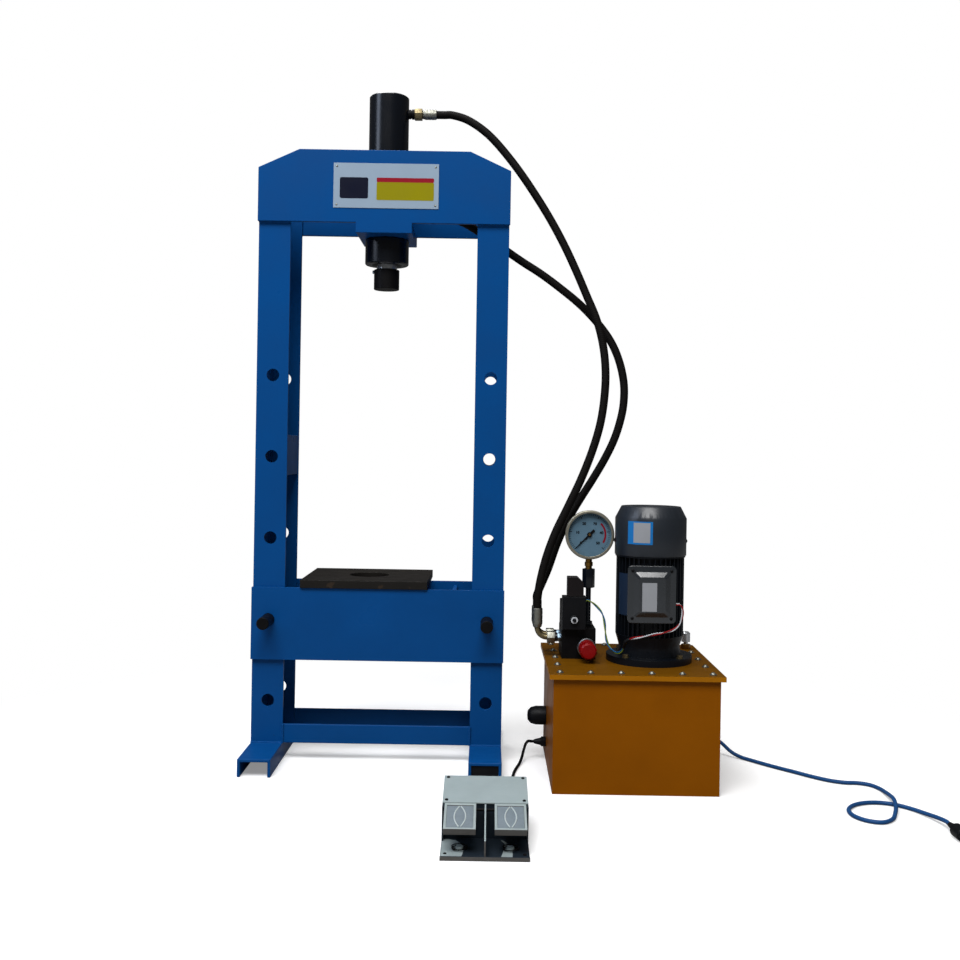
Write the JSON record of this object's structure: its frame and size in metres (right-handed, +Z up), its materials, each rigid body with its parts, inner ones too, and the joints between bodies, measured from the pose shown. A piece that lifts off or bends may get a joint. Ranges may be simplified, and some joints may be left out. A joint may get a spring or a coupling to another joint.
{
  "type": "hydraulic press",
  "caption": "Two-column workshop press with a pinned bed and top cylinder, fed by hoses from an electric pump unit on a tank and worked by a double foot pedal.",
  "frame": {"origin": "on the floor, under the middle of the machine's outline without its cords", "axes": "+X along the crosshead from the press towards the power unit, +Y from front to back, +Z up"},
  "size_m": [1.552, 0.97, 1.659],
  "materials": {
    "blue_paint": "gloss enamel over sheet steel",
    "black_plate": "dark mill scale, worn",
    "black_steel": "satin black",
    "chrome": "ground and polished",
    "bronze": "turned",
    "seal": "moulded",
    "zinc": "zinc plated",
    "data_plate": "printed sheet",
    "amber_paint": "semi-gloss enamel",
    "motor_paint": "dark grey enamel on castings",
    "copper_winding": "laminated and wound",
    "bare_steel": "turned",
    "cast_pump": "cast",
    "mesh": "woven wire",
    "fan_plastic": "moulded",
    "coil_plastic": "moulded",
    "red_plastic": "moulded",
    "gauge_steel": "pressed and polished",
    "dial_white": "printed sheet",
    "needle_black": "matt",
    "glass": "clear",
    "gland_plastic": "moulded",
    "pedal_grey": "powder coat on sheet steel",
    "pedal_cover": "powder coat on sheet steel",
    "pedal_tread": "cast with rubber inset",
    "hose_rubber": "wrapped cover",
    "blue_sheath": "extruded sheath",
    "lead_insulation": "extruded"
  },
  "bodies": {
    "frame": {"left_column": "blue_paint", "right_column": "blue_paint", "crosshead": "blue_paint", "feet": "blue_paint", "tie_plates": "blue_paint", "bed": "blue_paint", "press_plate": "black_plate", "cylinder_tube": "black_steel", "cylinder_cap": "black_steel", "cylinder_gland": "bronze", "lock_nut": "black_steel", "cylinder_fittings": "zinc", "data_plate": "data_plate", "tank_shell": "amber_paint", "tank_lid": "amber_paint", "unit_bolts": "zinc", "motor_flange": "motor_paint", "motor_housing": "motor_paint", "motor_stator": "copper_winding", "motor_bearings": "bare_steel", "motor_cowl": "motor_paint", "terminal_box": "motor_paint", "pump": "cast_pump", "suction_strainer": "mesh", "manifold_block": "black_steel", "block_fittings": "zinc", "valve_body": "black_steel", "solenoid_coil": "coil_plastic", "valve_connector": "coil_plastic", "relief_collar": "zinc", "gauge_case": "gauge_steel", "gauge_dial": "dial_white", "gauge_glass": "glass", "gauge_stem": "bronze", "breather": "chrome", "side_cap": "gland_plastic", "cord_glands": "gland_plastic", "pedal_base": "pedal_grey", "pedal_cover": "pedal_cover", "pedal_axle": "bare_steel", "pressure_hose": "hose_rubber", "return_hose": "hose_rubber", "pedal_cord": "hose_rubber", "mains_cord": "blue_sheath", "mains_plug": "gland_plastic", "motor_lead": "lead_insulation", "valve_lead": "lead_insulation"},
    "ram": {"ram": "chrome", "piston_seal": "seal", "ram_tip": "black_steel"},
    "left_pin": {"bed_pin_left": "black_steel"},
    "right_pin": {"bed_pin_right": "black_steel"},
    "rotor": {"motor_rotor": "bare_steel", "motor_fan": "fan_plastic", "pump_drive": "bare_steel"},
    "button": {"override_button": "bare_steel"},
    "knob": {"relief_knob": "red_plastic"},
    "needle": {"gauge_needle": "needle_black"},
    "left_tread": {"left_pedal": "pedal_tread"},
    "right_tread": {"right_pedal": "pedal_tread"}
  },
  "joints": [
    {"name": "ram_slide", "type": "slide", "parent": "frame", "child": "ram", "axis": [0, 0, -1], "range_m": [0, 0.18]},
    {"name": "left_pin_pull", "type": "slide", "parent": "frame", "child": "left_pin", "axis": [0, -1, 0], "range_m": [0, 0.29]},
    {"name": "right_pin_pull", "type": "slide", "parent": "frame", "child": "right_pin", "axis": [0, -1, 0], "range_m": [0, 0.29]},
    {"name": "motor_spin", "type": "hinge", "parent": "frame", "child": "rotor", "pos_m": [0.402, 0.113, 0.4], "axis": [0, 0, 1], "continuous": true},
    {"name": "override_push", "type": "slide", "parent": "frame", "child": "button", "axis": [0, 1, 0], "range_m": [0, 0.004], "stiffness_N_per_m": 2000},
    {"name": "relief_turn", "type": "hinge", "parent": "frame", "child": "knob", "pos_m": [0.25, 0.063, 0.3], "axis": [0, 1, 0], "range_deg": [-360, 360]},
    {"name": "gauge_needle_turn", "type": "hinge", "parent": "frame", "child": "needle", "pos_m": [0.258, 0.143, 0.567], "axis": [0, 1, 0], "range_deg": [0, 270], "stiffness_Nm_per_rad": 0.002},
    {"name": "left_pedal_press", "type": "hinge", "parent": "frame", "child": "left_tread", "pos_m": [-0.037, -0.382, 0.063], "axis": [1, 0, 0], "range_deg": [0, 10], "stiffness_Nm_per_rad": 20, "springref_deg": -5.73},
    {"name": "right_pedal_press", "type": "hinge", "parent": "frame", "child": "right_tread", "pos_m": [0.061, -0.382, 0.063], "axis": [1, 0, 0], "range_deg": [0, 10], "stiffness_Nm_per_rad": 20, "springref_deg": -5.73}
  ]
}
